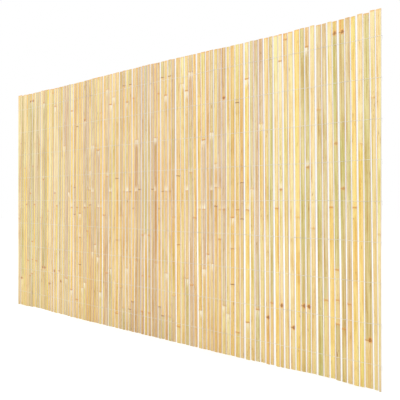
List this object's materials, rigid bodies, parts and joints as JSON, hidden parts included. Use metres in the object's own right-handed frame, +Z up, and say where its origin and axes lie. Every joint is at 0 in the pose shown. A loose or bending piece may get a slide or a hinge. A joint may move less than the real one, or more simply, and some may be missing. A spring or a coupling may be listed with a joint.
{
  "type": "slatted privacy screen",
  "caption": "Upright split-bamboo slats side by side, bound by level rows of twisted wire into a roll-out privacy screen.",
  "frame": {"origin": "foot of the middle slat, half way through its thickness: the bottom centre of the box", "axes": "+X along the screen to the right as it is looked at, +Z up, the face looked at points to -Y"},
  "size_m": [1.8057, 0.0052, 1],
  "materials": {
    "bamboo": "satin",
    "wire": "dull galvanised"
  },
  "bodies": {
    "root": {"centre_slat": "bamboo", "end_slat_left": "bamboo", "end_slat_right": "bamboo", "slat_pair_left_01": "bamboo", "slat_pair_left_02": "bamboo", "slat_pair_left_03": "bamboo", "slat_pair_left_04": "bamboo", "slat_pair_left_05": "bamboo", "slat_pair_left_06": "bamboo", "slat_pair_left_07": "bamboo", "slat_pair_left_08": "bamboo", "slat_pair_left_09": "bamboo", "slat_pair_left_10": "bamboo", "slat_pair_left_11": "bamboo", "slat_pair_left_12": "bamboo", "slat_pair_left_13": "bamboo", "slat_pair_left_14": "bamboo", "slat_pair_left_15": "bamboo", "slat_pair_left_16": "bamboo", "slat_pair_left_17": "bamboo", "slat_pair_left_18": "bamboo", "slat_pair_left_19": "bamboo", "slat_pair_left_20": "bamboo", "slat_pair_left_21": "bamboo", "slat_pair_left_22": "bamboo", "slat_pair_left_23": "bamboo", "slat_pair_left_24": "bamboo", "slat_pair_right_01": "bamboo", "slat_pair_right_02": "bamboo", "slat_pair_right_03": "bamboo", "slat_pair_right_04": "bamboo", "slat_pair_right_05": "bamboo", "slat_pair_right_06": "bamboo", "slat_pair_right_07": "bamboo", "slat_pair_right_08": "bamboo", "slat_pair_right_09": "bamboo", "slat_pair_right_10": "bamboo", "slat_pair_right_11": "bamboo", "slat_pair_right_12": "bamboo", "slat_pair_right_13": "bamboo", "slat_pair_right_14": "bamboo", "slat_pair_right_15": "bamboo", "slat_pair_right_16": "bamboo", "slat_pair_right_17": "bamboo", "slat_pair_right_18": "bamboo", "slat_pair_right_19": "bamboo", "slat_pair_right_20": "bamboo", "slat_pair_right_21": "bamboo", "slat_pair_right_22": "bamboo", "slat_pair_right_23": "bamboo", "slat_pair_right_24": "bamboo", "wire_row_1": "wire", "wire_row_2": "wire", "wire_row_3": "wire", "wire_row_4": "wire", "wire_row_5": "wire", "wire_row_6": "wire", "wire_row_7": "wire", "wire_row_8": "wire", "wire_row_9": "wire"}
  },
  "joints": []
}
